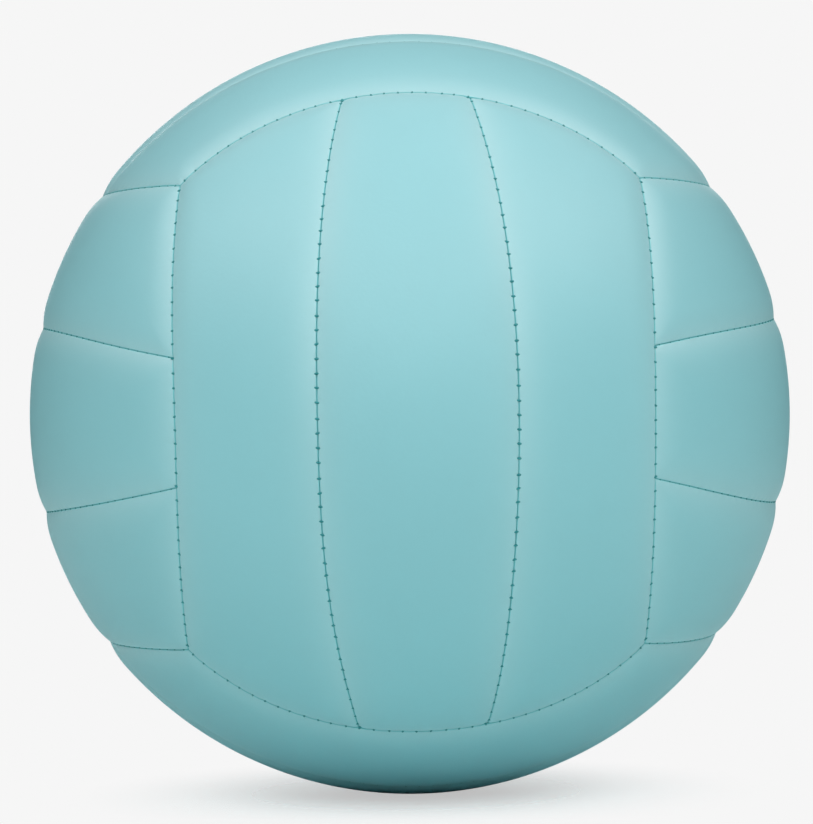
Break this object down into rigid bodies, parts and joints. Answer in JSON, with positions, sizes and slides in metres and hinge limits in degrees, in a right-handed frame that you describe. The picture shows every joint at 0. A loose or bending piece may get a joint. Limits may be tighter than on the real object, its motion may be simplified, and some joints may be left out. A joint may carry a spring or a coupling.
{
  "type": "volleyball",
  "caption": "Indoor volleyball: padded synthetic-leather panels with turned-in edges, sewn over sponge, cloth lining and an inflated bladder with a needle valve.",
  "frame": {"origin": "the centre of the ball", "axes": "+Y points out of the needle hole in the middle of the back face, -Y is the face seen first, +Z runs along the upright panels of both, and +X is to the right of a viewer who looks along +Y"},
  "size_m": [0.21, 0.2099, 0.21],
  "materials": {
    "leather": "aqua synthetic leather with a fine pebble grain and a soft satin sheen",
    "sponge": "open-cell sponge",
    "cloth": "woven cotton and polyester lining",
    "thread": "waxed polyester sewing thread",
    "valve_rubber": "moulded rubber",
    "core_rubber": "soft moulded rubber",
    "bladder_rubber": "butyl rubber"
  },
  "bodies": {
    "root": {"front_left_panel": "leather", "front_middle_panel": "leather", "front_right_panel": "leather", "back_right_panel": "leather", "back_middle_panel": "leather", "back_left_panel": "leather", "right_upper_panel": "leather", "right_middle_panel": "leather", "right_lower_panel": "leather", "left_upper_panel": "leather", "left_middle_panel": "leather", "left_lower_panel": "leather", "top_front_panel": "leather", "top_middle_panel": "leather", "top_rear_panel": "leather", "bottom_front_panel": "leather", "bottom_middle_panel": "leather", "bottom_rear_panel": "leather", "front_left_foam": "sponge", "front_middle_foam": "sponge", "front_right_foam": "sponge", "back_right_foam": "sponge", "back_middle_foam": "sponge", "back_left_foam": "sponge", "right_upper_foam": "sponge", "right_middle_foam": "sponge", "right_lower_foam": "sponge", "left_upper_foam": "sponge", "left_middle_foam": "sponge", "left_lower_foam": "sponge", "top_front_foam": "sponge", "top_middle_foam": "sponge", "top_rear_foam": "sponge", "bottom_front_foam": "sponge", "bottom_middle_foam": "sponge", "bottom_rear_foam": "sponge", "front_lining": "cloth", "back_lining": "cloth", "right_lining": "cloth", "left_lining": "cloth", "top_lining": "cloth", "bottom_lining": "cloth", "front_seam_thread": "thread", "back_seam_thread": "thread", "right_seam_thread": "thread", "left_seam_thread": "thread", "top_seam_thread": "thread", "bottom_seam_thread": "thread", "valve_patch": "cloth", "valve_housing": "valve_rubber", "valve_core": "core_rubber", "bladder": "bladder_rubber"}
  },
  "joints": []
}
